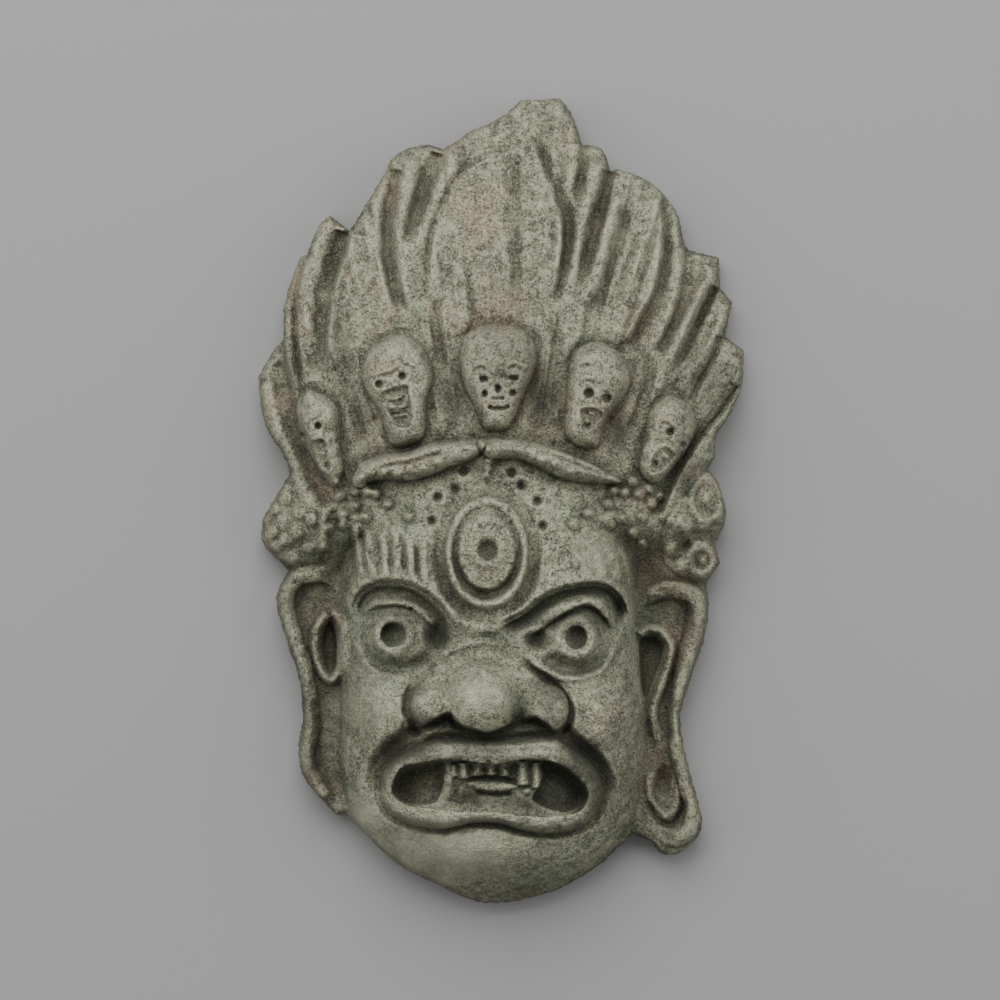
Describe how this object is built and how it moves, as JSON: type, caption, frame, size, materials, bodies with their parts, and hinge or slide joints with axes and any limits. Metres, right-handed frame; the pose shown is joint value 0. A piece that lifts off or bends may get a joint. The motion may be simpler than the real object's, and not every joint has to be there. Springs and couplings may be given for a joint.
{
  "type": "mask",
  "caption": "Carved stone mask of a wrathful guardian with a forehead eye, skull crown, flame-like hair, long ears and a hollow back, lying face up on its flat rim.",
  "frame": {"origin": "middle of the mask's outline, on the floor under its flat back rim", "axes": "+X to the right as one looks at the face, +Y from chin to flames, +Z out of the face"},
  "size_m": [0.242, 0.4023, 0.0899],
  "materials": {
    "stone": "rough, weathered, with pale lichen and dark dirt in the cuts"
  },
  "bodies": {
    "root": {"mask": "stone"}
  },
  "joints": []
}
